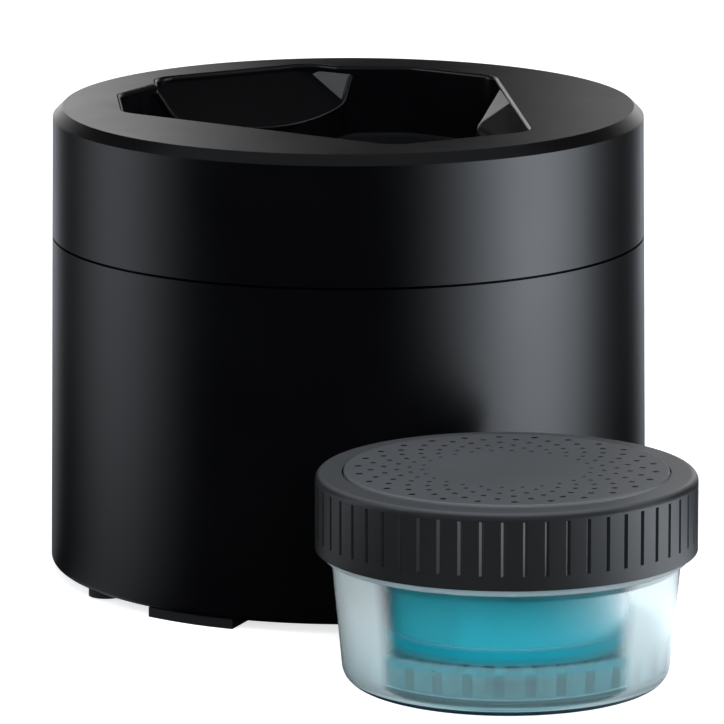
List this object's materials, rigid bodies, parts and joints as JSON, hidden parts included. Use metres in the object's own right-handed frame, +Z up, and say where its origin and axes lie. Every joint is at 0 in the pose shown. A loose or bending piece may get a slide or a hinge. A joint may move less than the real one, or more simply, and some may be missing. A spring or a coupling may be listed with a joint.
{
  "type": "shaver cleaning station",
  "caption": "Round pod with a lift-off top section and a shaped recess that takes a rotary shaver's head, with a clear screw-capped cleaning fluid cartridge beside it.",
  "frame": {"origin": "on the table, below the pod's axis", "axes": "+Z up along the pod's axis, -Y towards the front of the pod, where the narrow end of the recess lies, +X to the right as seen from the front"},
  "size_m": [0.122, 0.1958, 0.096],
  "materials": {
    "black_casing": "satin moulded",
    "black_top": "satin moulded",
    "black_guide": "satin moulded",
    "inner_black": "fine matt moulded",
    "black_rubber": "matt",
    "screw_steel": "zinc plated",
    "clear_cup": "clear moulded",
    "clear_pot": "clear moulded",
    "cleaning_fluid": "clear liquid",
    "filter_foam": "open cell foam",
    "inner_lid": "moulded",
    "cap_black": "satin moulded",
    "cap_disc": "polished",
    "liner_foam": "matt"
  },
  "bodies": {
    "base": {"base_casing": "black_casing", "base_plate": "inner_black", "cartridge_bay": "inner_black", "rim_seal": "black_rubber", "front_left_foot": "black_rubber", "front_right_foot": "black_rubber", "back_foot": "black_rubber", "base_screws": "screw_steel", "bay_screws": "screw_steel"},
    "top_section": {"top_casing": "black_top", "shaver_basin": "inner_black", "basin_gasket": "black_rubber", "nozzle_plate": "inner_black", "throat_seal": "black_rubber", "basin_screws": "screw_steel", "left_guide": "black_guide", "right_guide": "black_guide"},
    "cartridge": {"cartridge_cup": "clear_cup", "inner_pot": "clear_pot", "cleaning_fluid": "cleaning_fluid", "filter_ring": "filter_foam", "cup_lid": "inner_lid"},
    "liner": {"cap_liner": "liner_foam"},
    "cap": {"cap_ring": "cap_black", "cap_disc": "cap_disc"}
  },
  "joints": [
    {"name": "top_lift", "type": "slide", "parent": "base", "child": "top_section", "axis": [0, 0, 1], "range_m": [0, 0.08]},
    {"name": "cartridge_lift", "type": "slide", "parent": "base", "child": "cartridge", "axis": [0, 0, 1], "range_m": [0, 0.12]},
    {"name": "cap_rise", "type": "slide", "parent": "cartridge", "child": "liner", "axis": [0, 0, 1], "range_m": [0, 0.006]},
    {"name": "cap_turn", "type": "hinge", "parent": "liner", "child": "cap", "pos_m": [-0.02154, -0.09796, 0.036], "axis": [0, 0, 1], "range_deg": [0, 270]}
  ],
  "couplings": [
    {"joint": "cap_rise", "follows": "cap_turn", "m_per_rad": 0.001273}
  ]
}
